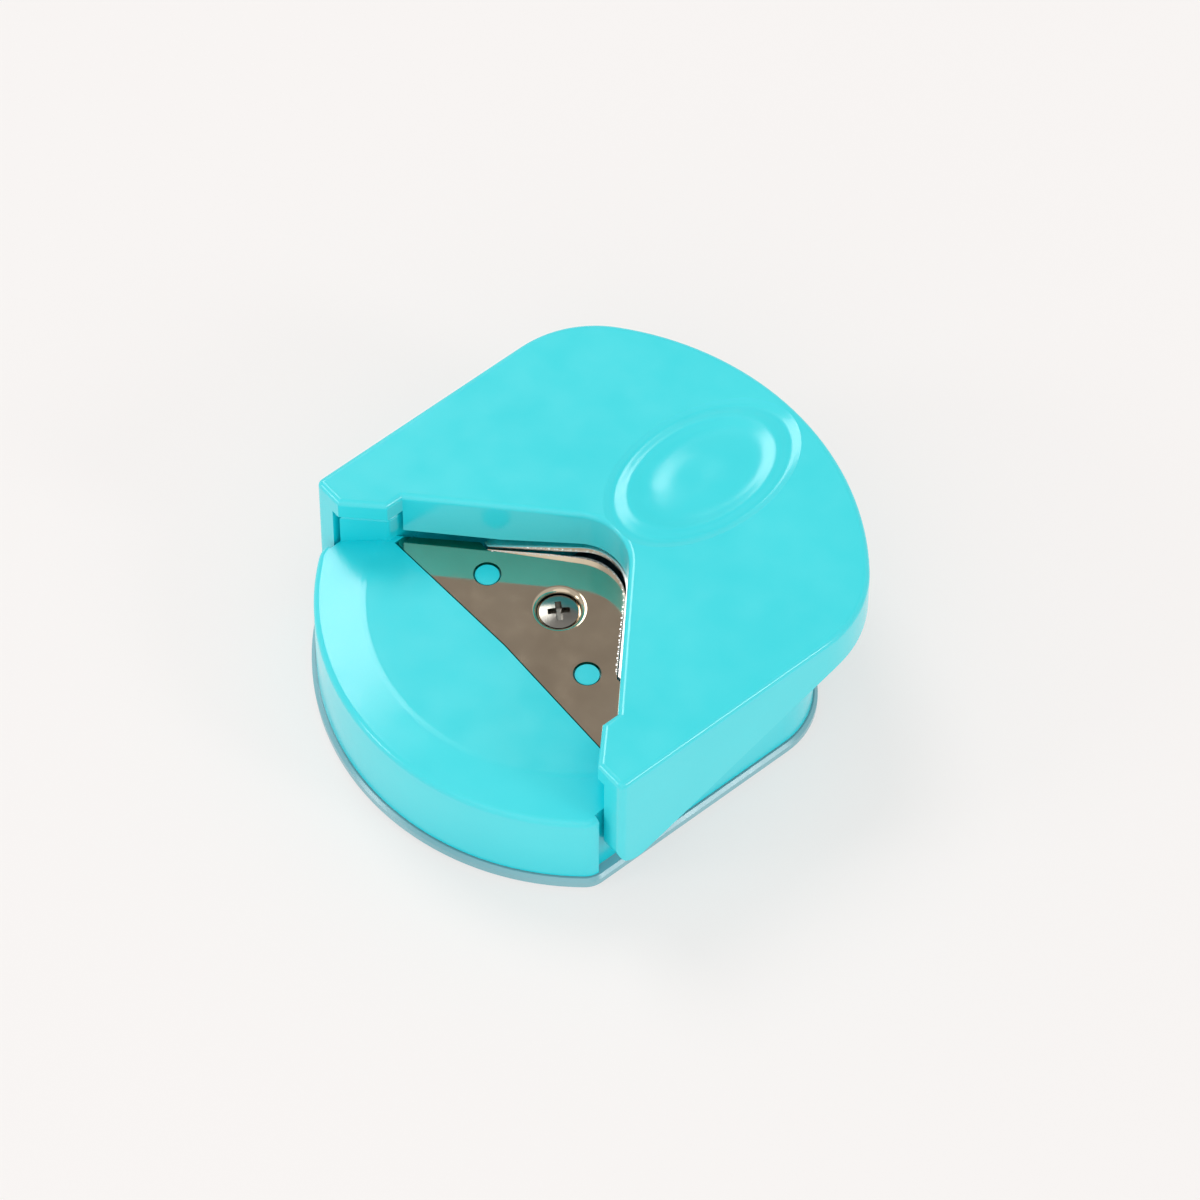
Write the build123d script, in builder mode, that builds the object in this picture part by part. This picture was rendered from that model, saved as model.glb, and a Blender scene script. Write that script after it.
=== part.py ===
from build123d import *

import math
import os

os.makedirs("parts", exist_ok=True)

# Corner rounder for paper. X runs across, Y from the paper table (front) to the thumb end (back), Z up.
# The origin is on the underside, at the centre of the overall length and width. Millimetres.

# ---------------------------------------------------------------- plan of the base and the chip cover
rim_half_width = 27.6
rim_front_radius = 35.0
rim_front_centre_y = 0.3
rim_front_blend = 3.5
rim_corner_radius = 11.0
rim_corner_x = rim_half_width - rim_corner_radius
rim_corner_y = 10.5
rim_back_radius = 37.0
rim_back_centre_y = rim_corner_y - math.sqrt((rim_back_radius - rim_corner_radius) ** 2 - rim_corner_x**2)
smallest_blend = 0.5

# ---------------------------------------------------------------- chip cover
seat_gap = 0.03
cover_edge_height = 1.6
cover_edge_chamfer = 0.4
cover_floor = 1.2
cover_step_inset = 1.5
cover_step_height = 1.75
cover_ring_inset = 2.65
cover_ring_thickness = 1.2
cover_ring_top = 4.4
cover_edge_radius = 0.3

# ---------------------------------------------------------------- base body
base_inset = 0.6
base_wall = 1.8
base_bottom = cover_step_height + seat_gap
table_top = 14.9
deck_top = 12.4
deck_underside = 10.4
front_underside = 12.4
front_hollow_back_y = -18.5
rear_wall_top = 17.2
rear_wall_start_y = -5.2
table_flat_radius = 26.3
table_centre_y = -1.6
table_roll_radius = 4.0
table_slope_deg = 10.8
table_outer_reach = 42.0
table_edge_radius = 0.9

chip_half_width = 7.5
chip_back_line = 12.8
chip_back_y = 15.0

# ---------------------------------------------------------------- hinge
hinge_y = -13.0
hinge_z = 14.9
hinge_pin_radius = 1.25
hinge_running_clearance = 0.05
hinge_pin_inner_x = 22.4
hinge_pin_outer_x = 28.8
hinge_pin_chamfer = 0.15
hinge_hole_inner_x = 22.3
hinge_hole_outer_x = 29.0

# ---------------------------------------------------------------- paper guide posts and ear recesses
guide_line = 7.6
post_inner_x = 21.7
post_outer_x = 26.1
post_back_y = -8.5
post_top = 19.3
post_nose_radius = 1.0
post_edge_radius = 0.45
recess_front_y = -20.1
recess_back_y = -7.0
recess_wall = 1.8
recess_wall_bottom = 4.8

# ---------------------------------------------------------------- die plate
die_thickness = 1.2
die_line = 7.4
die_radius = 6.35
die_arm_line = 8.8
die_step_y = -5.43
die_front_centre_y = -12.9
die_front_tip_y = -13.6
die_front_radius = 5.0
die_tip_x = 20.9
die_tip_radius = 0.7
die_hole_x = 9.85
die_hole_y = -7.77
die_hole_radius = 1.8
die_peg_radius = 1.56
die_peg_drop = 0.2
die_pocket_gap = 0.15
die_support_setback = 0.35
dimple_y = -4.2
dimple_floor_z = 13.0
dimple_cup_thickness = 1.1
dimple_floor_radius = 2.75
dimple_roll = 0.8
dimple_cup_radius = 3.75
dimple_seat_clearance = 0.2

# ---------------------------------------------------------------- punch plate
punch_tilt_deg = 9.1
punch_origin_y = -5.35
punch_origin_z = 14.25
punch_thickness = 1.0
punch_line = 13.15
punch_radius = 6.35
punch_half_width = 13.6
punch_end = 0.3
punch_depth = 8.0
punch_back_radius = 4.0
punch_screw_x = 8.5
punch_screw_line = 18.5
punch_hole_radius = 1.15

# ---------------------------------------------------------------- press lid
lid_half_width = 30.0
lid_top = 23.5
lid_front_y = -19.1
lid_corner_radius = 15.0
lid_corner_x = lid_half_width - lid_corner_radius
lid_corner_y = 14.3
lid_back_radius = 38.5
lid_back_centre_y = lid_corner_y - math.sqrt((lid_back_radius - lid_corner_radius) ** 2 - lid_corner_x**2)
lid_wall = 2.0
lid_roof_underside = 21.3
lid_edge_radius = 0.75
lid_skirt_front_z = 4.1
lid_skirt_level_z = 16.9
lid_skirt_level_y = 15.6
lid_skirt_blend = 9.0
notch_vertex_y = 5.1
notch_radius = 7.0
notch_arm_deg = 43.5
notch_wall = 1.5
notch_wall_bottom = 16.3
step_x = 21.1
lip_line = 6.4
hood_underside = 20.5
ear_inner_x = 26.7
ear_back_y = -9.5
ear_corner_radius = 0.9
ear_foot_radius = 3.0
punch_gap_front = 16.1
punch_gap_slope_deg = 6.8
punch_gap_half_width = 13.9
boss_radius = 2.4
boss_length = 5.4

# ---------------------------------------------------------------- thumb rest relief
thumb_y = 19.3
thumb_narrowing = 0.64
thumb_middle_depth = 0.10
thumb_inner_groove_y = 9.4
thumb_inner_depth = 0.20
thumb_ring_y = 11.2
thumb_ring_depth = 0.03
thumb_outer_groove_y = 13.0
thumb_outer_depth = 0.30
thumb_edge_y = 14.55
thumb_edge_rise = 0.02

# ---------------------------------------------------------------- return spring and screws
spring_y = 19.5
spring_mean_radius = 3.6
spring_wire_radius = 0.4
spring_turns = 5
spigot_radius = 2.6
base_spigot_height = 2.0
lid_spigot_height = 2.5

screw_head_radius = 2.5
screw_head_height = 1.5
screw_turn_deg = 56.0
screw_shank_radius = 1.2
screw_shank_length = 7.0
screw_boss_radius = 3.2
screw_boss_bottom = 5.4
screw_boss_overlap = 0.5
head_rim_share = 0.8
recess_length_share = 1.15
recess_width_share = 0.34
recess_depth_share = 0.6
recess_taper_deg = 12.0
shank_tip_share = 0.4
punch_screw_head_radius = 1.8
punch_screw_head_height = 1.0
punch_screw_shank_radius = 0.95
punch_screw_shank_length = 4.6
punch_screw_spare_depth = 0.3
screw_clearance = 0.06

root_two = math.sqrt(2)
punch_plane = Plane(
    origin=(0, punch_origin_y, punch_origin_z),
    x_dir=(1, 0, 0),
    z_dir=(0, -math.sin(math.radians(punch_tilt_deg)), math.cos(math.radians(punch_tilt_deg))),
)
punch_screw_points = [
    (-punch_screw_x, punch_screw_line - punch_screw_x),
    (punch_screw_x, punch_screw_line - punch_screw_x),
]


def point_at(centre, radius, degrees):
    """Point on a circle at an angle counted from +X."""
    angle = math.radians(degrees)
    return (centre[0] + radius * math.cos(angle), centre[1] + radius * math.sin(angle))


def arc(centre, radius, start_deg, end_deg):
    """Circular arc between two angles about a centre."""
    CenterArc(center=centre, radius=radius, start_angle=start_deg, arc_size=end_deg - start_deg)


def rim_outline(inset):
    """Plan of the base, moved inward by inset: round front, straight sides, rounded back."""
    half_width = rim_half_width - inset
    front_radius = rim_front_radius - inset
    blend = max(rim_front_blend - inset, smallest_blend)
    corner = rim_corner_radius - inset
    back_radius = rim_back_radius - inset
    drop = math.sqrt((front_radius - blend) ** 2 - (half_width - blend) ** 2)
    blend_centre = (half_width - blend, rim_front_centre_y - drop)
    blend_deg = math.degrees(math.atan2(-drop, half_width - blend))
    back_deg = math.degrees(math.atan2(rim_corner_y - rim_back_centre_y, rim_corner_x))
    with BuildLine() as outline:
        arc((0, rim_front_centre_y), front_radius, -90, blend_deg)
        arc(blend_centre, blend, blend_deg, 0)
        Line((half_width, blend_centre[1]), (half_width, rim_corner_y))
        arc((rim_corner_x, rim_corner_y), corner, 0, back_deg)
        arc((0, rim_back_centre_y), back_radius, back_deg, 90)
        mirror(about=Plane.YZ)
    return outline.edges()


def vee_outline(line, radius, half_width, back_y):
    """Area behind a rounded V whose sides lie on |x| + y = line."""
    centre = (0, line - radius * root_two)
    with BuildLine() as outline:
        arc(centre, radius, 90, 45)
        Line(point_at(centre, radius, 45), (half_width, line - half_width))
        Line((half_width, line - half_width), (half_width, back_y))
        Line((half_width, back_y), (0, back_y))
        mirror(about=Plane.YZ)
    return outline.edges()


def notch_arm_y(offset, x):
    """Where an arm of the V notch, moved outward by offset, crosses a given x."""
    arm = math.radians(notch_arm_deg)
    distance = (notch_vertex_y - notch_radius) * math.cos(arm) + notch_radius + offset
    return (distance - x * math.sin(arm)) / math.cos(arm)


def lid_outline():
    """Plan of the press lid with its V notch, side lips and ears."""
    notch_centre = (0, notch_vertex_y - notch_radius)
    tangent_deg = 90 - notch_arm_deg
    back_deg = math.degrees(math.atan2(lid_corner_y - lid_back_centre_y, lid_corner_x))
    with BuildLine() as outline:
        arc(notch_centre, notch_radius, 90, tangent_deg)
        Polyline(
            point_at(notch_centre, notch_radius, tangent_deg),
            (step_x, notch_arm_y(0, step_x)),
            (step_x, lip_line - step_x),
            (lip_line - lid_front_y, lid_front_y),
            (lid_half_width - ear_corner_radius, lid_front_y),
        )
        arc((lid_half_width - ear_corner_radius, lid_front_y + ear_corner_radius), ear_corner_radius, -90, 0)
        Line((lid_half_width, lid_front_y + ear_corner_radius), (lid_half_width, lid_corner_y))
        arc((lid_corner_x, lid_corner_y), lid_corner_radius, 0, back_deg)
        arc((0, lid_back_centre_y), lid_back_radius, back_deg, 90)
        mirror(about=Plane.YZ)
    return outline.edges()


def lid_cavity():
    """Plan of the hollow inside the lid: one wall thickness in from the sides and the V wall."""
    inner_radius = notch_radius + notch_wall
    centre = (0, notch_vertex_y - notch_radius)
    tangent_deg = 90 - notch_arm_deg
    inner_half_width = lid_half_width - lid_wall
    back_deg = math.degrees(math.atan2(lid_corner_y - lid_back_centre_y, lid_corner_x))
    with BuildLine() as outline:
        arc(centre, inner_radius, 90, tangent_deg)
        Polyline(
            point_at(centre, inner_radius, tangent_deg),
            (step_x, notch_arm_y(notch_wall, step_x)),
            (inner_half_width, notch_arm_y(notch_wall, step_x)),
            (inner_half_width, lid_corner_y),
        )
        arc((lid_corner_x, lid_corner_y), lid_corner_radius - lid_wall, 0, back_deg)
        arc((0, lid_back_centre_y), lid_back_radius - lid_wall, back_deg, 90)
        mirror(about=Plane.YZ)
    return outline.edges()


def die_outline(front_gap, die_edge_line, arm_line, step_y):
    """Plan of the die plate: shallow peaked front, two arms, stepped V edge with a round nose."""
    centre = (0, die_edge_line - die_radius * root_two)
    with BuildLine() as outline:
        arc(centre, die_radius, 90, 45)
        Polyline(
            point_at(centre, die_radius, 45),
            (die_edge_line - step_y, step_y),
            (arm_line - step_y, step_y),
            (die_tip_x + front_gap, arm_line - die_tip_x - front_gap),
            (die_tip_x + front_gap, die_front_tip_y - front_gap),
            (0, die_front_centre_y - front_gap),
        )
        mirror(about=Plane.YZ)
    return outline.edges()


def table_front(edge_line, step_y):
    """Plan of the raised table: everything in front of the stepped V edge."""
    centre = (0, edge_line - die_radius * root_two)
    front_y = -2 * rim_front_radius
    with BuildLine() as outline:
        arc(centre, die_radius, 90, 45)
        Polyline(
            point_at(centre, die_radius, 45),
            (edge_line - step_y, step_y),
            (die_arm_line - step_y, step_y),
            (-front_y, die_arm_line + front_y),
            (-front_y, 2 * front_y),
            (0, 2 * front_y),
        )
        mirror(about=Plane.YZ)
    return outline.edges()


def pan_head_screw(head_radius, head_height, shank_radius, shank_length):
    """Cross-recessed pan head screw, head upward, seat at the origin."""
    rim_height = head_rim_share * head_height
    dome_height = head_height - rim_height
    dome_radius = (head_radius**2 + dome_height**2) / (2 * dome_height)
    half_x = head_radius / 2
    half_z = head_height - dome_radius + math.sqrt(dome_radius**2 - half_x**2)
    recess_depth = recess_depth_share * head_height
    recess_length = recess_length_share * head_radius
    recess_width = recess_width_share * head_radius
    with BuildPart() as screw:
        with BuildSketch(Plane.XZ):
            with BuildLine():
                Line((0, 0), (head_radius, 0))
                Line((head_radius, 0), (head_radius, rim_height))
                ThreePointArc((head_radius, rim_height), (half_x, half_z), (0, head_height))
                Line((0, head_height), (0, 0))
            make_face()
        revolve(axis=Axis.Z)
        with BuildSketch(Plane.XY):
            Circle(shank_radius)
        extrude(amount=-shank_length)
        chamfer(screw.edges().sort_by(Axis.Z)[0], shank_tip_share * shank_radius)
        with BuildSketch(Plane.XY.offset(head_height)):
            Rectangle(recess_length, recess_width)
            Rectangle(recess_width, recess_length)
        extrude(amount=-recess_depth, taper=recess_taper_deg, mode=Mode.SUBTRACT)
    return screw.part


def save(node, label):
    """Names a finished piece and writes it."""
    node.part.label = label
    export_step(node.part, "parts/" + label + ".step")


# ================================================================ bottom_cover: snap-in chip cover
with BuildPart() as bottom_cover:
    with BuildSketch():
        make_face(rim_outline(0))
    extrude(amount=cover_edge_height)
    chamfer(bottom_cover.faces().sort_by(Axis.Z)[-1].edges(), cover_edge_chamfer)
    fillet(bottom_cover.faces().sort_by(Axis.Z)[0].edges(), cover_edge_radius)
    with BuildSketch(Plane.XY.offset(cover_floor)):
        make_face(rim_outline(cover_step_inset))
    extrude(amount=cover_step_height - cover_floor)
    with BuildSketch(Plane.XY.offset(cover_floor)):
        make_face(rim_outline(cover_ring_inset))
    extrude(amount=cover_ring_top - cover_floor)
    with BuildSketch(Plane.XY.offset(cover_floor)):
        make_face(rim_outline(cover_ring_inset + cover_ring_thickness))
    extrude(amount=cover_ring_top, mode=Mode.SUBTRACT)
save(bottom_cover, "bottom_cover")

# ================================================================ base_body: table, chip chamber, guide posts
with BuildPart() as base_body:
    with BuildSketch(Plane.XY.offset(base_bottom)):
        make_face(rim_outline(base_inset))
    extrude(amount=table_top - base_bottom)

    # The paper table is flat in the middle and rolls down to the front wall.
    slope = math.radians(table_slope_deg)
    roll_end_x = table_flat_radius + table_roll_radius * math.sin(slope)
    roll_end_z = table_top - table_roll_radius * (1 - math.cos(slope))
    reach_z = roll_end_z - (table_outer_reach - roll_end_x) * math.tan(slope)
    with BuildSketch(Plane.XZ.offset(-table_centre_y)):
        with BuildLine():
            arc((table_flat_radius, table_top - table_roll_radius), table_roll_radius, 90, 90 - table_slope_deg)
            Polyline(
                (roll_end_x, roll_end_z),
                (table_outer_reach, reach_z),
                (table_outer_reach, table_top + table_edge_radius),
                (table_flat_radius, table_top + table_edge_radius),
                (table_flat_radius, table_top),
            )
        make_face()
    revolve(axis=Axis((0, table_centre_y, 0), (0, 0, 1)), mode=Mode.SUBTRACT)
    wall_top_edges = (
        base_body.edges()
        .filter_by(lambda e: (e @ 0.5).Z > deck_top and abs(e.tangent_at(0.5).Z) < 0.5)
        .filter_by(lambda e: e.geom_type != GeomType.CIRCLE)
    )
    fillet(wall_top_edges, table_edge_radius)

    # Chip chamber, open below, with a thinner roof under the front of the table.
    with BuildSketch(Plane.XY.offset(base_bottom)):
        make_face(rim_outline(base_inset + base_wall))
    extrude(amount=deck_underside - base_bottom, mode=Mode.SUBTRACT)
    with BuildSketch(Plane.XY.offset(deck_underside)):
        make_face(rim_outline(base_inset + base_wall))
        with Locations((0, front_hollow_back_y)):
            Rectangle(4 * rim_half_width, 4 * rim_half_width, align=(Align.CENTER, Align.MIN), mode=Mode.SUBTRACT)
    extrude(amount=front_underside - deck_underside, mode=Mode.SUBTRACT)

    # Lowered deck behind the die edge, under the lid.
    support_line = die_line - die_support_setback
    support_step_y = die_step_y - die_support_setback
    with BuildSketch(Plane.XY.offset(deck_top)):
        make_face(rim_outline(base_inset + base_wall))
        make_face(table_front(support_line, support_step_y), mode=Mode.SUBTRACT)
    extrude(amount=table_top - deck_top + 1, mode=Mode.SUBTRACT)

    # Pocket for the die plate and the deeper seat for its dimple.
    with BuildSketch(Plane.XY.offset(table_top - die_thickness)):
        make_face(die_outline(die_pocket_gap, die_line, die_arm_line, die_step_y))
    extrude(amount=die_thickness + 1, mode=Mode.SUBTRACT)
    with BuildSketch(Plane.XY.offset(dimple_floor_z - dimple_cup_thickness)):
        with Locations((0, dimple_y)):
            Circle(dimple_cup_radius + dimple_seat_clearance)
    extrude(amount=table_top - dimple_floor_z, mode=Mode.SUBTRACT)

    # Pegs that hold the die plate in place.
    with BuildSketch(Plane.XY.offset(table_top - die_thickness)):
        with Locations((-die_hole_x, die_hole_y), (die_hole_x, die_hole_y)):
            Circle(die_peg_radius)
    extrude(amount=die_thickness - die_peg_drop)

    # Boss for the die plate screw.
    with BuildSketch(Plane.XY.offset(screw_boss_bottom)):
        with Locations((0, dimple_y)):
            Circle(screw_boss_radius)
    extrude(amount=deck_underside - screw_boss_bottom + screw_boss_overlap)
    with BuildSketch(Plane.XY.offset(screw_boss_bottom)):
        with Locations((0, dimple_y)):
            Circle(screw_shank_radius + screw_clearance)
    extrude(amount=table_top - screw_boss_bottom, mode=Mode.SUBTRACT)

    # Opening that the clipped corners fall through.
    with BuildSketch(Plane.XY.offset(deck_underside)):
        make_face(vee_outline(support_line, die_radius, chip_half_width, chip_back_y))
        make_face(vee_outline(chip_back_line, die_radius, chip_half_width + 1, chip_back_y + 1), mode=Mode.SUBTRACT)
    extrude(amount=table_top - deck_underside, mode=Mode.SUBTRACT)

    # Side and back wall under the lid.
    with BuildSketch(Plane.XY.offset(deck_underside)):
        make_face(rim_outline(base_inset))
        make_face(rim_outline(base_inset + base_wall), mode=Mode.SUBTRACT)
        with Locations((0, rear_wall_start_y)):
            Rectangle(4 * rim_half_width, 4 * rim_half_width, align=(Align.CENTER, Align.MAX), mode=Mode.SUBTRACT)
    extrude(amount=rear_wall_top - deck_underside)

    # Ear recesses in both sides, closed toward the chip chamber.
    recess_mid_y = (recess_front_y + recess_back_y) / 2
    recess_length = recess_back_y - recess_front_y
    with BuildSketch(Plane.XY.offset(recess_wall_bottom)):
        make_face(rim_outline(base_inset))
        with Locations((0, recess_mid_y)):
            Rectangle(4 * rim_half_width, recess_length + 2 * recess_wall, mode=Mode.INTERSECT)
            Rectangle(2 * (post_outer_x - recess_wall), 2 * recess_length, mode=Mode.SUBTRACT)
    extrude(amount=deck_top - recess_wall_bottom)
    recess_wall_inner_x = post_outer_x - recess_wall
    side_wall_outer_x = rim_half_width - base_inset
    recess_wall_mid_x = (recess_wall_inner_x + side_wall_outer_x) / 2
    with BuildSketch(Plane.XY.offset(deck_top)):
        with Locations((-recess_wall_mid_x, rear_wall_start_y), (recess_wall_mid_x, rear_wall_start_y)):
            Rectangle(
                side_wall_outer_x - recess_wall_inner_x,
                rear_wall_start_y - hinge_y,
                align=(Align.CENTER, Align.MAX),
            )
    extrude(amount=rear_wall_top - deck_top)
    with BuildSketch(Plane.XY.offset(base_bottom)):
        with Locations((-rim_half_width, recess_mid_y), (rim_half_width, recess_mid_y)):
            Rectangle(2 * (rim_half_width - post_outer_x), recess_length)
    extrude(amount=rear_wall_top, mode=Mode.SUBTRACT)

    # Paper guide posts.
    with BuildSketch(Plane.XY.offset(deck_top)) as post_plan:
        with BuildLine():
            Polyline(
                (post_inner_x, guide_line - post_inner_x),
                (post_outer_x, guide_line - post_outer_x),
                (post_outer_x, post_back_y),
                (post_inner_x, post_back_y),
                close=True,
            )
        make_face()
        fillet(post_plan.vertices().group_by(Axis.X)[0].sort_by(Axis.Y)[0], post_nose_radius)
        mirror(about=Plane.YZ)
    extrude(amount=post_top - deck_top)
    post_tops = base_body.faces().filter_by(Axis.Z).filter_by(lambda f: abs(f.center().Z - post_top) < 0.01)
    fillet(post_tops.edges(), post_edge_radius)

    # Blind holes for the hinge pins.
    for side in (-1, 1):
        with BuildSketch(Plane.YZ.offset(side * hinge_hole_inner_x)):
            with Locations((hinge_y, hinge_z)):
                Circle(hinge_pin_radius)
        extrude(amount=side * (post_outer_x - hinge_hole_inner_x + 1), mode=Mode.SUBTRACT)

    # Spigot that centres the return spring.
    with BuildSketch(Plane.XY.offset(deck_top)):
        with Locations((0, spring_y)):
            Circle(spigot_radius)
    extrude(amount=base_spigot_height)
save(base_body, "base_body")

# ================================================================ die_plate: steel plate under the paper
with BuildPart() as die_plate:
    with BuildSketch(Plane.XY.offset(table_top - die_thickness)) as die_plan:
        make_face(die_outline(0, die_line, die_arm_line, die_step_y))
        tips = die_plan.vertices().filter_by(lambda v: abs(abs(v.X) - die_tip_x) < 0.01)
        fillet(tips, die_tip_radius)
        peak = die_plan.vertices().filter_by(lambda v: abs(v.X) < 0.01 and v.Y < hinge_y + 1)
        fillet(peak, die_front_radius)
    extrude(amount=die_thickness)
    with BuildSketch(Plane.XY.offset(dimple_floor_z - dimple_cup_thickness)):
        with Locations((0, dimple_y)):
            Circle(dimple_cup_radius)
    extrude(amount=die_thickness + dimple_cup_thickness)
    with BuildSketch(Plane.XZ.offset(-dimple_y)):
        with BuildLine():
            Line((0, dimple_floor_z), (dimple_floor_radius, dimple_floor_z))
            Line((dimple_floor_radius, dimple_floor_z), (dimple_floor_radius, table_top - dimple_roll))
            arc((dimple_floor_radius + dimple_roll, table_top - dimple_roll), dimple_roll, 180, 90)
            Line((dimple_floor_radius + dimple_roll, table_top), (0, table_top))
            Line((0, table_top), (0, dimple_floor_z))
        make_face()
    revolve(axis=Axis((0, dimple_y, 0), (0, 0, 1)), mode=Mode.SUBTRACT)
    with BuildSketch(Plane.XY.offset(dimple_floor_z - dimple_cup_thickness)):
        with Locations((0, dimple_y)):
            Circle(screw_shank_radius + screw_clearance)
    extrude(amount=dimple_cup_thickness, mode=Mode.SUBTRACT)
    with BuildSketch(Plane.XY.offset(table_top - die_thickness)):
        with Locations((-die_hole_x, die_hole_y), (die_hole_x, die_hole_y)):
            Circle(die_hole_radius)
    extrude(amount=die_thickness, mode=Mode.SUBTRACT)
save(die_plate, "die_plate")

# ================================================================ die_screw: holds the die plate down
screw_shape = pan_head_screw(screw_head_radius, screw_head_height, screw_shank_radius, screw_shank_length)
with BuildPart() as die_screw:
    with Locations(Location((0, dimple_y, dimple_floor_z), (0, 0, screw_turn_deg))):
        add(screw_shape)
save(die_screw, "die_screw")

# ================================================================ punch_plate: steel cutter under the lid
with BuildPart() as punch_plate:
    with BuildSketch(punch_plane) as punch_plan:
        make_face(vee_outline(punch_line, punch_radius, punch_half_width, 2 * punch_line))
        make_face(
            vee_outline(punch_line + punch_depth, punch_back_radius, 2 * punch_half_width, 3 * punch_line),
            mode=Mode.SUBTRACT,
        )
        with Locations((0, punch_end)):
            Rectangle(4 * punch_half_width, 4 * punch_line, align=(Align.CENTER, Align.MIN), mode=Mode.INTERSECT)
    extrude(amount=punch_thickness)
    with BuildSketch(punch_plane):
        with Locations(punch_screw_points):
            Circle(punch_hole_radius)
    extrude(amount=punch_thickness, mode=Mode.SUBTRACT)
save(punch_plate, "punch_plate")

# ================================================================ punch_screws: two screws from below
punch_screw_shape = pan_head_screw(
    punch_screw_head_radius, punch_screw_head_height, punch_screw_shank_radius, punch_screw_shank_length
)
with BuildPart() as punch_screws:
    for point in punch_screw_points:
        seat = punch_plane * Location((point[0], point[1], 0), (180, 0, 0))
        with Locations(seat):
            add(punch_screw_shape)
save(punch_screws, "punch_screws")

# ================================================================ press_lid: hinged lid pressed by the thumb
with BuildPart() as round_cutter:
    with BuildSketch(Plane.XZ):
        with BuildLine():
            Spline(
                (0, -thumb_middle_depth),
                (thumb_inner_groove_y / 2, -thumb_middle_depth),
                (thumb_inner_groove_y, -thumb_inner_depth),
                (thumb_ring_y, -thumb_ring_depth),
                (thumb_outer_groove_y, -thumb_outer_depth),
                (thumb_edge_y, thumb_edge_rise),
                tangents=[(1, 0), (1, 0.1)],
            )
            Polyline((thumb_edge_y, thumb_edge_rise), (thumb_edge_y, 1), (0, 1), (0, -thumb_middle_depth))
        make_face()
    revolve(axis=Axis.Z)
thumb_cutter = scale(round_cutter.part, by=(thumb_narrowing, 1, 1))

with BuildPart() as press_lid:
    with BuildSketch(Plane.XY.offset(lid_skirt_front_z)):
        make_face(lid_outline())
    extrude(amount=lid_top - lid_skirt_front_z)
    fillet(press_lid.faces().sort_by(Axis.Z)[-1].edges(), lid_edge_radius)

    # Skirt: low at the ears, rising to a level edge round the back.
    with BuildSketch(Plane.YZ) as skirt_profile:
        with BuildLine():
            Polyline(
                (lid_front_y, lid_skirt_front_z),
                (lid_skirt_level_y, lid_skirt_level_z),
                (2 * lid_back_radius, lid_skirt_level_z),
                (2 * lid_back_radius, lid_top + 1),
                (lid_front_y, lid_top + 1),
                close=True,
            )
        make_face()
        ear_foot = skirt_profile.vertices().filter_by(
            lambda v: math.hypot(v.X - lid_front_y, v.Y - lid_skirt_front_z) < 0.01
        )
        fillet(ear_foot, ear_foot_radius)
        skirt_bend = skirt_profile.vertices().filter_by(
            lambda v: math.hypot(v.X - lid_skirt_level_y, v.Y - lid_skirt_level_z) < 0.01
        )
        fillet(skirt_bend, lid_skirt_blend)
    extrude(amount=2 * lid_half_width, both=True, mode=Mode.INTERSECT)

    # Hollow inside, open below.
    with BuildSketch():
        make_face(lid_cavity())
    extrude(amount=lid_roof_underside, mode=Mode.SUBTRACT)

    # Space under the side lips, where the guide posts stand.
    with BuildSketch():
        with Locations((0, ear_back_y)):
            Rectangle(2 * ear_inner_x, 2 * lid_half_width, align=(Align.CENTER, Align.MAX))
            Rectangle(2 * step_x, 2 * lid_half_width, align=(Align.CENTER, Align.MAX), mode=Mode.SUBTRACT)
    extrude(amount=hood_underside, mode=Mode.SUBTRACT)

    # Lower edge of the V wall, cut higher where the punch plate passes under it.
    with BuildSketch():
        with Locations((0, lid_front_y)):
            Rectangle(2 * post_inner_x, lid_corner_y - lid_front_y, align=(Align.CENTER, Align.MIN))
    extrude(amount=notch_wall_bottom, mode=Mode.SUBTRACT)
    gap_rise = math.tan(math.radians(punch_gap_slope_deg)) * (lid_corner_y - punch_origin_y)
    with BuildSketch(Plane.YZ):
        with BuildLine():
            Polyline(
                (punch_origin_y - 1, 0),
                (punch_origin_y - 1, punch_gap_front),
                (punch_origin_y, punch_gap_front),
                (lid_corner_y, punch_gap_front + gap_rise),
                (lid_corner_y, 0),
                close=True,
            )
        make_face()
    extrude(amount=punch_gap_half_width, both=True, mode=Mode.SUBTRACT)

    # Bosses that carry the punch plate.
    with BuildSketch(punch_plane.offset(punch_thickness)):
        with Locations(punch_screw_points):
            Circle(boss_radius)
    extrude(amount=boss_length)
    with BuildSketch(punch_plane.offset(punch_thickness)):
        with Locations(punch_screw_points):
            Circle(punch_screw_shank_radius + screw_clearance)
    extrude(amount=punch_screw_shank_length - punch_thickness + punch_screw_spare_depth, mode=Mode.SUBTRACT)

    # Spigot that centres the return spring.
    with BuildSketch(Plane.XY.offset(lid_roof_underside)):
        with Locations((0, spring_y)):
            Circle(spigot_radius)
    extrude(amount=-lid_spigot_height)

    # Blind holes that turn on the hinge pins.
    for side in (-1, 1):
        with BuildSketch(Plane.YZ.offset(side * (ear_inner_x - 1))):
            with Locations((hinge_y, hinge_z)):
                Circle(hinge_pin_radius + hinge_running_clearance)
        extrude(amount=side * (hinge_hole_outer_x - ear_inner_x + 1), mode=Mode.SUBTRACT)

    # Thumb rest: soft oval grooves with a raised ring between them.
    with Locations((0, thumb_y, lid_top)):
        add(thumb_cutter, mode=Mode.SUBTRACT)
save(press_lid, "press_lid")

# ================================================================ hinge pins
for side, label in ((-1, "hinge_pin_left"), (1, "hinge_pin_right")):
    with BuildPart() as hinge_pin:
        with BuildSketch(Plane.YZ.offset(side * hinge_pin_inner_x)):
            with Locations((hinge_y, hinge_z)):
                Circle(hinge_pin_radius)
        extrude(amount=side * (hinge_pin_outer_x - hinge_pin_inner_x))
        chamfer(hinge_pin.edges().filter_by(GeomType.CIRCLE), hinge_pin_chamfer)
    save(hinge_pin, label)

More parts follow.
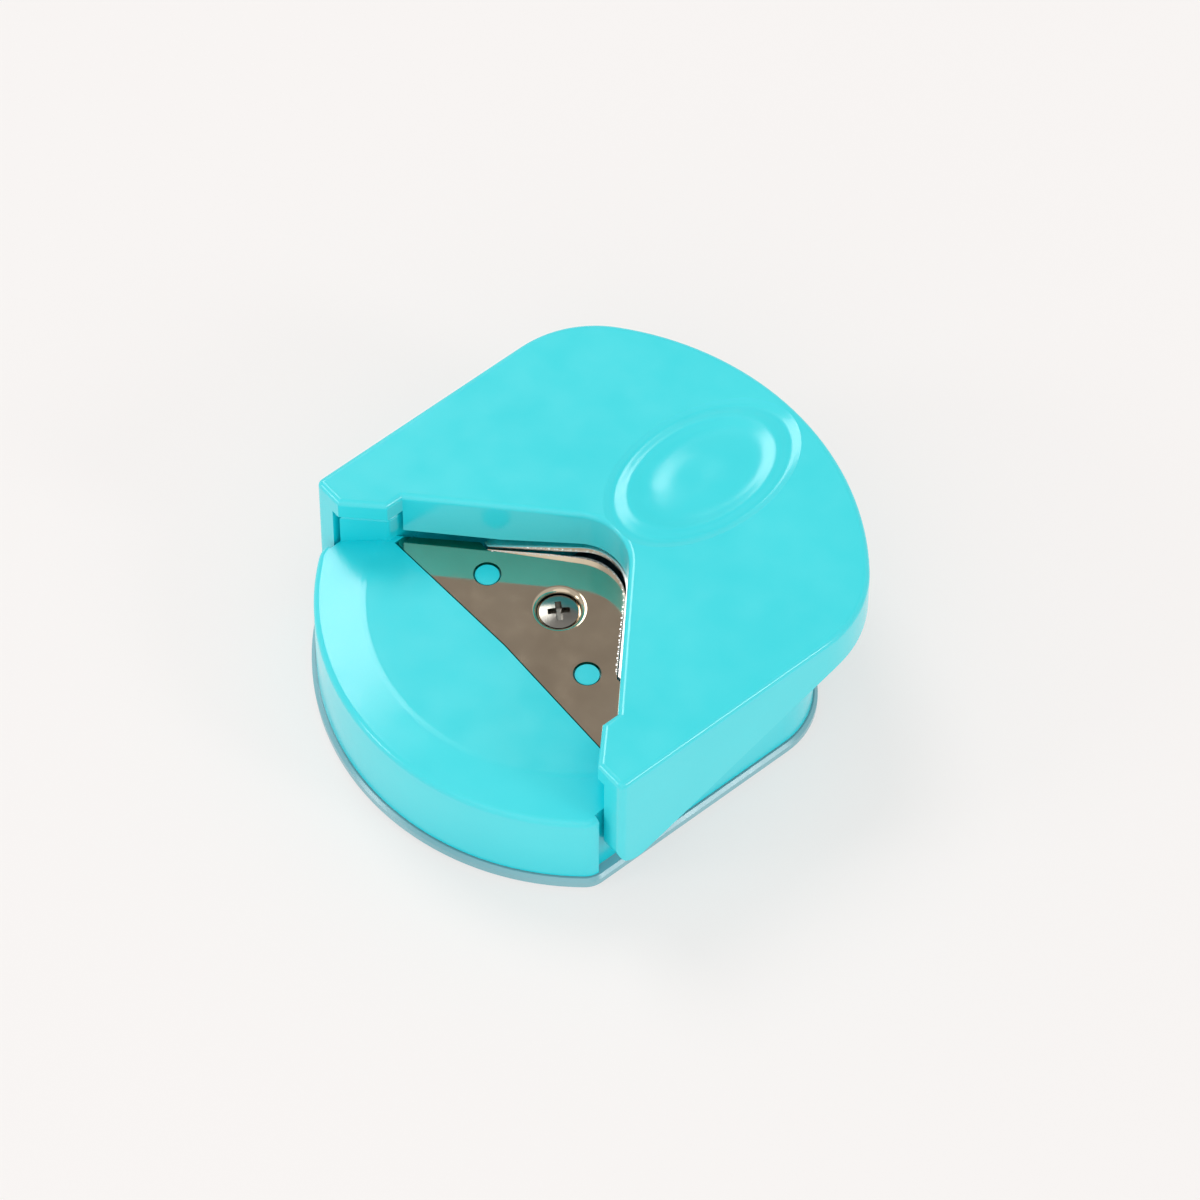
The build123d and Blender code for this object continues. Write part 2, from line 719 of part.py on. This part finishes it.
# ================================================================ return_spring: pushes the lid open
spring_bottom = deck_top + spring_wire_radius + seat_gap
spring_height = lid_roof_underside - deck_top - 2 * (spring_wire_radius + seat_gap)
with BuildPart() as return_spring:
    with BuildLine():
        coil = Helix(
            pitch=spring_height / spring_turns,
            height=spring_height,
            radius=spring_mean_radius,
            center=(0, spring_y, spring_bottom),
        )
    with BuildSketch(Plane(origin=coil @ 0, z_dir=coil % 0)):
        Circle(spring_wire_radius)
    sweep()
save(return_spring, "return_spring")
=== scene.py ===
import math

import bmesh
import bpy
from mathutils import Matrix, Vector


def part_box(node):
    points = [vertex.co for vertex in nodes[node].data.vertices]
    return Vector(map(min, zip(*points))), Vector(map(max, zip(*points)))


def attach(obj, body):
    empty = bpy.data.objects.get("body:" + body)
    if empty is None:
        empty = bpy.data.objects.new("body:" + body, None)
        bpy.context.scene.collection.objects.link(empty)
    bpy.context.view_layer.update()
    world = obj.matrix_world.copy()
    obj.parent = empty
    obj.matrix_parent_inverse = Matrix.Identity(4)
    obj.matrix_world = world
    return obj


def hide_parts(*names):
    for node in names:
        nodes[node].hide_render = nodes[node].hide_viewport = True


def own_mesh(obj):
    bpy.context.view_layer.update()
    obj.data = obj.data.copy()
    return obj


# Corner rounder: turquoise lid and base, grey translucent chip cover, mirror steel die plate. Metres.

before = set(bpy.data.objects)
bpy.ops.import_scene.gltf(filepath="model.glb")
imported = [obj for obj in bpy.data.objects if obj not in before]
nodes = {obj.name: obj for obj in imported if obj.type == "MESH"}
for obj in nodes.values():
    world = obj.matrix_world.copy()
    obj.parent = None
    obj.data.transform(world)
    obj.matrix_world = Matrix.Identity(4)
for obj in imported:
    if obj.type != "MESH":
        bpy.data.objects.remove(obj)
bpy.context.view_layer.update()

MM = 0.001

# ---------------------------------------------------------------- colours, linear
TURQUOISE = (0.058, 0.745, 0.820)
LID_TURQUOISE_DEEP = (0.046, 0.715, 0.795)
BASE_TURQUOISE_DEEP = (0.044, 0.710, 0.795)
# Painted shade: darker, more saturated turquoise laid into enclosed corners of lid and base
PAINTED_NOOK_SHADE_TURQUOISE = (0.0, 0.66, 0.76)
COVER_TEAL = (0.24, 0.50, 0.56)
COVER_TEAL_DEEP = (0.17, 0.42, 0.48)
DIE_STEEL = (0.62, 0.53, 0.40)
DIE_STEEL_DEEP = (0.55, 0.46, 0.34)
PUNCH_STEEL = (0.92, 0.92, 0.90)
PUNCH_STEEL_DEEP = (0.80, 0.80, 0.78)
SCREW_STEEL = (0.33, 0.32, 0.29)
SCREW_STEEL_DEEP = (0.26, 0.25, 0.23)
SPRING_STEEL = (0.55, 0.55, 0.55)
SPRING_STEEL_DEEP = (0.38, 0.38, 0.38)
FLOOR_PALE = (0.38, 0.37, 0.365)
FLOOR_PALE_DEEP = (0.37, 0.36, 0.355)

# ---------------------------------------------------------------- surface detail, features per metre
CLOUD_RANGE = (0.3, 0.7)
FINE_DEPTH = 0.01 * MM
PLASTIC_CLOUD_SCALE = 55
PLASTIC_SMEAR_SCALE = 220
PLASTIC_SMEAR_RANGE = (0.3, 0.7)
PLASTIC_IOR = 1.57
RIPPLE_SCALE = 160
RIPPLE_STRENGTH = 0.05
RIPPLE_DEPTH = 0.04 * MM
SCRATCH_SCALE = 900
SCRATCH_STRETCH = (1.0, 0.04, 1.0)
SCRATCH_STRENGTH = 0.04
METAL_CLOUD_SCALE = 120
METAL_SMEAR_SCALE = 300
METAL_SMEAR_RANGE = (0.3, 0.75)
METAL_GRAIN_SCALE = 1500
# Painted shade in nooks: occlusion reach, the occlusion span over which the shade fades out, and sample
# count
NOOK_SHADE_REACH = 12 * MM
NOOK_SHADE_RANGE = (0.45, 0.95)
NOOK_SHADE_SAMPLES = 8

# ---------------------------------------------------------------- return spring
COIL_TURNS = 5
COIL_STEPS = 32
COIL_SIDES = 12
COIL_WIRE = 0.4 * MM
COIL_CLOSED_RISE = 0.82 * MM

# ---------------------------------------------------------------- burr on the V edge of the die plate
DIE_LINE = 7.4 * MM
DIE_RADIUS = 6.35 * MM
DIE_ARM_END_X = 12.6 * MM
BURR_PITCH = 0.34 * MM
BURR_FILL = 0.38
BURR_SETBACK = 0.04 * MM
BURR_WIDTH = 0.26 * MM
BURR_HEIGHT = 0.07 * MM
BURR_MEAN_SIZE = 0.7
BURR_SIZE_SWING = 0.3
BURR_PHASE_STEP = 2.4

# ---------------------------------------------------------------- floor and light
FLOOR_WIDTH = 6
FLOOR_CLOUD_SCALE = 3
FLOOR_GLOW = 0.55
FLOOR_GLOW_TINT = (1.0, 0.975, 0.965, 1)
STUDIO_WHITE = (0.74, 0.73, 0.72)
STUDIO_GREY = (0.36, 0.34, 0.33)
DARK_PANEL_DIRECTION = (-0.44, 0.37, 0.82)
DARK_PANEL_EDGES = (0.86, 0.96)
KEY_WHITE = (1.0, 0.99, 0.97)
FILL_WHITE = (1.0, 0.99, 0.98)
EDGE_WHITE = (1.0, 1.0, 1.0)

# ---------------------------------------------------------------- camera
AIM = Vector((0.0, -0.5, 10.0)) * MM
AIM_RIGHT = 2.354 * MM
AIM_UP = 1.907 * MM
CAMERA_AZIMUTH = 50.07
CAMERA_ELEVATION = 55.59
CAMERA_DISTANCE = 860.7 * MM
CAMERA_ROLL = 0.23
CAMERA_LENS = 204.1
CAMERA_SENSOR = 36
CAMERA_NEAREST = 10 * MM


def new_material(name):
    """A node material: itself, its tree, its shader and the object-space place."""
    material = bpy.data.materials.new(name)
    material.use_nodes = True
    tree = material.node_tree
    shader = tree.nodes["Principled BSDF"]
    place = tree.nodes.new("ShaderNodeTexCoord")
    return material, tree, shader, place.outputs["Object"]


def noise(tree, where, scale, detail, stretch=None):
    """Noise value at a scale in features per metre, stretched along an axis if asked."""
    node = tree.nodes.new("ShaderNodeTexNoise")
    node.inputs["Scale"].default_value = scale
    node.inputs["Detail"].default_value = detail
    if stretch:
        mapping = tree.nodes.new("ShaderNodeMapping")
        mapping.inputs["Scale"].default_value = stretch
        tree.links.new(where, mapping.inputs["Vector"])
        where = mapping.outputs["Vector"]
    tree.links.new(where, node.inputs["Vector"])
    return node.outputs["Fac"]


def ramp(tree, value, low, high, color_low, color_high):
    """Colour between two ends as a value goes from low to high."""
    node = tree.nodes.new("ShaderNodeValToRGB")
    node.color_ramp.elements[0].position = low
    node.color_ramp.elements[1].position = high
    node.color_ramp.elements[0].color = (*color_low, 1)
    node.color_ramp.elements[1].color = (*color_high, 1)
    tree.links.new(value, node.inputs["Fac"])
    return node.outputs["Color"]


def span(tree, value, low, high, out_low, out_high):
    """Value remapped from low..high to out_low..out_high."""
    node = tree.nodes.new("ShaderNodeMapRange")
    node.inputs["From Min"].default_value = low
    node.inputs["From Max"].default_value = high
    node.inputs["To Min"].default_value = out_low
    node.inputs["To Max"].default_value = out_high
    tree.links.new(value, node.inputs["Value"])
    return node.outputs["Result"]


def bump(tree, height, strength, distance, normal=None):
    """Bump normal from a height value, laid over another normal if one is given."""
    node = tree.nodes.new("ShaderNodeBump")
    node.inputs["Strength"].default_value = strength
    node.inputs["Distance"].default_value = distance
    tree.links.new(height, node.inputs["Height"])
    if normal:
        tree.links.new(normal, node.inputs["Normal"])
    return node.outputs["Normal"]


def paint_nook_shade(tree, tint, nook_shade):
    """Painted shade: colour that turns darker and more saturated where walls face each other, mixed in
    by ambient occlusion.
    """
    openness = tree.nodes.new("ShaderNodeAmbientOcclusion")
    openness.samples = NOOK_SHADE_SAMPLES
    openness.inputs["Distance"].default_value = NOOK_SHADE_REACH
    mix = tree.nodes.new("ShaderNodeMix")
    mix.data_type = "RGBA"
    mix.inputs["A"].default_value = (*nook_shade, 1)
    tree.links.new(tint, mix.inputs["B"])
    tree.links.new(span(tree, openness.outputs["AO"], *NOOK_SHADE_RANGE, 0.0, 1.0), mix.inputs["Factor"])
    return mix.outputs["Result"]


def plastic(name, color, deep, roughness, nook_shade=None):
    """Glossy moulded plastic: cloudy colour, uneven gloss, fine ripple and a few hair scratches; with a
    nook colour, painted shade in enclosed corners.
    """
    material, tree, shader, where = new_material(name)
    cloud = noise(tree, where, PLASTIC_CLOUD_SCALE, 4)
    tint = ramp(tree, cloud, *CLOUD_RANGE, deep, color)
    # Painted shade: occluded corners take the darker nook colour
    if nook_shade:
        tint = paint_nook_shade(tree, tint, nook_shade)
    tree.links.new(tint, shader.inputs["Base Color"])
    smear = noise(tree, where, PLASTIC_SMEAR_SCALE, 5)
    tree.links.new(span(tree, smear, *PLASTIC_SMEAR_RANGE, *roughness), shader.inputs["Roughness"])
    waves = noise(tree, where, RIPPLE_SCALE, 2)
    ripple = bump(tree, waves, RIPPLE_STRENGTH, RIPPLE_DEPTH)
    scratches = noise(tree, where, SCRATCH_SCALE, 2, SCRATCH_STRETCH)
    tree.links.new(bump(tree, scratches, SCRATCH_STRENGTH, FINE_DEPTH, ripple), shader.inputs["Normal"])
    shader.inputs["IOR"].default_value = PLASTIC_IOR
    return material


def metal(name, color, deep, roughness, grain_stretch, grain_strength):
    """Steel: cloudy tint, smeared polish, directional grain."""
    material, tree, shader, where = new_material(name)
    cloud = noise(tree, where, METAL_CLOUD_SCALE, 4)
    tree.links.new(ramp(tree, cloud, *CLOUD_RANGE, deep, color), shader.inputs["Base Color"])
    smear = noise(tree, where, METAL_SMEAR_SCALE, 5)
    tree.links.new(span(tree, smear, *METAL_SMEAR_RANGE, *roughness), shader.inputs["Roughness"])
    grain = noise(tree, where, METAL_GRAIN_SCALE, 3, grain_stretch)
    tree.links.new(bump(tree, grain, grain_strength, FINE_DEPTH), shader.inputs["Normal"])
    shader.inputs["Metallic"].default_value = 1.0
    return material


def dress(node, material):
    """Puts one material on every slot of a CAD node."""
    mesh = nodes[node].data
    if not mesh.materials:
        mesh.materials.append(material)
    for index in range(len(mesh.materials)):
        mesh.materials[index] = material


# Lid and base carry painted shade in their enclosed corners
lid_plastic = plastic("lid_plastic", TURQUOISE, LID_TURQUOISE_DEEP, (0.15, 0.24), PAINTED_NOOK_SHADE_TURQUOISE)
base_plastic = plastic("base_plastic", TURQUOISE, BASE_TURQUOISE_DEEP, (0.15, 0.24), PAINTED_NOOK_SHADE_TURQUOISE)
cover_plastic = plastic("cover_plastic", COVER_TEAL, COVER_TEAL_DEEP, (0.18, 0.28))
die_metal = metal("die_metal", DIE_STEEL, DIE_STEEL_DEEP, (0.05, 0.13), (1.0, 0.03, 1.0), 0.04)
punch_metal = metal("punch_metal", PUNCH_STEEL, PUNCH_STEEL_DEEP, (0.15, 0.30), (0.05, 1.0, 1.0), 0.15)
screw_metal = metal("screw_metal", SCREW_STEEL, SCREW_STEEL_DEEP, (0.15, 0.32), (1.0, 1.0, 1.0), 0.2)
spring_metal = metal("spring_metal", SPRING_STEEL, SPRING_STEEL_DEEP, (0.2, 0.35), (1.0, 1.0, 0.1), 0.2)

dress("base_body", base_plastic)
dress("bottom_cover", cover_plastic)
dress("press_lid", lid_plastic)
dress("die_plate", die_metal)
dress("punch_plate", punch_metal)
for fastener in ("die_screw", "punch_screws", "hinge_pin_left", "hinge_pin_right"):
    dress(fastener, screw_metal)
dress("return_spring", spring_metal)


def mesh_piece(name, shape, material):
    """Object made from a bmesh, with its faces turned outward and one material."""
    bmesh.ops.recalc_face_normals(shape, faces=shape.faces)
    mesh = bpy.data.meshes.new(name)
    shape.to_mesh(mesh)
    shape.free()
    mesh.materials.append(material)
    piece = bpy.data.objects.new(name, mesh)
    bpy.context.collection.objects.link(piece)
    return piece


def coil_height(turn, span_height):
    """Height of the wire after some turns: closed end coils, even pitch between them."""
    open_rise = (span_height - 2 * COIL_CLOSED_RISE) / (COIL_TURNS - 2)
    if turn < 1:
        return turn * COIL_CLOSED_RISE
    if turn > COIL_TURNS - 1:
        return span_height - (COIL_TURNS - turn) * COIL_CLOSED_RISE
    return COIL_CLOSED_RISE + (turn - 1) * open_rise


def wound_spring(name, material):
    """Return spring wound from round wire, where the plain CAD helix stands."""
    low, high = (Vector(corner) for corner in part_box("return_spring"))
    axis = (low + high) / 2
    mean_radius = (high.x - low.x) / 2 - COIL_WIRE
    span_height = high.z - low.z - 2 * COIL_WIRE
    shape = bmesh.new()
    rings = []
    for step in range(COIL_TURNS * COIL_STEPS + 1):
        turn = step / COIL_STEPS
        around = 2 * math.pi * turn
        outward = Vector((math.cos(around), math.sin(around), 0))
        middle = Vector((axis.x, axis.y, low.z + COIL_WIRE + coil_height(turn, span_height)))
        ring = []
        for side in range(COIL_SIDES):
            angle = 2 * math.pi * side / COIL_SIDES
            reach = mean_radius + COIL_WIRE * math.cos(angle)
            rise = Vector((0, 0, COIL_WIRE * math.sin(angle)))
            ring.append(shape.verts.new(middle + reach * outward + rise))
        rings.append(ring)
    for ring, following in zip(rings, rings[1:]):
        for side in range(COIL_SIDES):
            after = (side + 1) % COIL_SIDES
            shape.faces.new((ring[side], ring[after], following[after], following[side]))
    shape.faces.new(rings[0])
    shape.faces.new(reversed(rings[-1]))
    for face in shape.faces:
        face.smooth = len(face.verts) == 4
    spring = mesh_piece(name, shape, material)
    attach(spring, "base")
    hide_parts("return_spring")
    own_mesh(spring)


def die_edge_path():
    """Points and outward directions along the V edge of the die plate, one per burr tooth."""
    root_two = math.sqrt(2)
    centre = Vector((0, DIE_LINE - DIE_RADIUS * root_two, 0))
    arm_start = DIE_RADIUS / root_two
    arm_length = (DIE_ARM_END_X - arm_start) * root_two
    teeth_on_arm = int(arm_length / BURR_PITCH)
    teeth_on_nose = int(DIE_RADIUS * math.pi / 2 / BURR_PITCH)
    for side in (-1, 1):
        outward = Vector((side, 1, 0)) / root_two
        along = Vector((side, -1, 0)) / root_two
        for tooth in range(teeth_on_arm):
            yield centre + DIE_RADIUS * outward + (tooth + 0.5) * BURR_PITCH * along, outward
    for tooth in range(teeth_on_nose):
        angle = math.pi / 4 + (tooth + 0.5) * math.pi / 2 / teeth_on_nose
        outward = Vector((math.cos(angle), math.sin(angle), 0))
        yield centre + DIE_RADIUS * outward, outward


def edge_burr(name, material):
    """Row of tiny shear teeth that stamping leaves on the V edge of the die plate."""
    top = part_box("die_plate")[1][2]
    shape = bmesh.new()
    for number, (point, outward) in enumerate(die_edge_path()):
        along = Vector((outward.y, -outward.x, 0)) * BURR_PITCH * BURR_FILL
        size = BURR_MEAN_SIZE + BURR_SIZE_SWING * math.sin(BURR_PHASE_STEP * number)
        outer = Vector((point.x, point.y, top)) - BURR_SETBACK * outward
        inner = outer - BURR_WIDTH * size * outward
        corners = (outer - along, outer + along, inner + along, inner - along)
        foot = [shape.verts.new(corner) for corner in corners]
        peak = shape.verts.new(outer - BURR_SETBACK * outward + Vector((0, 0, BURR_HEIGHT * size)))
        shape.faces.new(foot)
        for corner in range(4):
            shape.faces.new((foot[corner], foot[(corner + 1) % 4], peak))
    burr = mesh_piece(name, shape, material)
    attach(burr, "base")


wound_spring("wound_spring", spring_metal)
edge_burr("die_edge_burr", punch_metal)

# ---------------------------------------------------------------- floor
bpy.ops.mesh.primitive_plane_add(size=FLOOR_WIDTH, location=(0, 0, 0))
floor = bpy.context.object
floor.name = "floor"
floor_material, floor_tree, floor_shader, floor_where = new_material("floor_pale")
floor_cloud = noise(floor_tree, floor_where, FLOOR_CLOUD_SCALE, 2)
floor_color = ramp(floor_tree, floor_cloud, *CLOUD_RANGE, FLOOR_PALE_DEEP, FLOOR_PALE)
floor_tree.links.new(floor_color, floor_shader.inputs["Base Color"])
floor_shader.inputs["Roughness"].default_value = 0.9
floor_shader.inputs["Specular IOR Level"].default_value = 0.1
floor_shader.inputs["Emission Color"].default_value = FLOOR_GLOW_TINT
floor_shader.inputs["Emission Strength"].default_value = FLOOR_GLOW
floor.data.materials.append(floor_material)

# ---------------------------------------------------------------- light
world = bpy.data.worlds.new("studio")
bpy.context.scene.world = world
world.use_nodes = True
sky_tree = world.node_tree
background = sky_tree.nodes["Background"]
background.inputs["Strength"].default_value = 1.0
sky_direction = sky_tree.nodes.new("ShaderNodeTexCoord")
toward_dark = sky_tree.nodes.new("ShaderNodeVectorMath")
toward_dark.operation = "DOT_PRODUCT"
toward_dark.inputs[1].default_value = DARK_PANEL_DIRECTION
sky_tree.links.new(sky_direction.outputs["Generated"], toward_dark.inputs[0])
sky_color = ramp(sky_tree, toward_dark.outputs["Value"], *DARK_PANEL_EDGES, STUDIO_WHITE, STUDIO_GREY)
sky_tree.links.new(sky_color, background.inputs["Color"])


def from_compass(azimuth, elevation):
    """Unit direction towards a compass azimuth (0 is -Y, 90 is +X) and an elevation, in degrees."""
    a = math.radians(azimuth)
    e = math.radians(elevation)
    return Vector((math.cos(e) * math.sin(a), -math.cos(e) * math.cos(a), math.sin(e)))


def sun(name, azimuth, elevation, strength, angle, color):
    """A soft distant light from a compass direction."""
    data = bpy.data.lights.new(name, "SUN")
    data.energy = strength
    data.angle = math.radians(angle)
    data.color = color
    lamp = bpy.data.objects.new(name, data)
    bpy.context.collection.objects.link(lamp)
    lamp.rotation_euler = from_compass(azimuth, elevation).to_track_quat("Z", "Y").to_euler()


sun("key", azimuth=-102, elevation=50, strength=0.80, angle=26, color=KEY_WHITE)
sun("fill", azimuth=40, elevation=32, strength=0.40, angle=60, color=FILL_WHITE)
sun("side_edge", azimuth=112, elevation=25, strength=0.40, angle=14, color=EDGE_WHITE)
sun("front_edge", azimuth=-28, elevation=22, strength=0.30, angle=14, color=EDGE_WHITE)

# ---------------------------------------------------------------- camera
bearing = math.radians(CAMERA_AZIMUTH)
roll = math.radians(CAMERA_ROLL)
backward = from_compass(CAMERA_AZIMUTH, CAMERA_ELEVATION)
right = Vector((math.cos(bearing), math.sin(bearing), 0))
up = right.cross(-backward)
rolled_right = math.cos(roll) * right + math.sin(roll) * up
rolled_up = math.cos(roll) * up - math.sin(roll) * right
stand = AIM + CAMERA_DISTANCE * backward
look_at = AIM + AIM_RIGHT * rolled_right + AIM_UP * rolled_up
look_back = (stand - look_at).normalized()
look_right = rolled_up.cross(look_back).normalized()
look_up = look_back.cross(look_right)
camera_data = bpy.data.cameras.new("camera")
camera_data.lens = CAMERA_LENS
camera_data.sensor_width = CAMERA_SENSOR
camera_data.clip_start = CAMERA_NEAREST
camera = bpy.data.objects.new("camera", camera_data)
bpy.context.collection.objects.link(camera)
matrix = camera.matrix_world.copy()
for row in range(3):
    matrix[row][0] = look_right[row]
    matrix[row][1] = look_up[row]
    matrix[row][2] = look_back[row]
    matrix[row][3] = stand[row]
camera.matrix_world = matrix
bpy.context.scene.camera = camera
bpy.context.scene.view_settings.view_transform = "Standard"
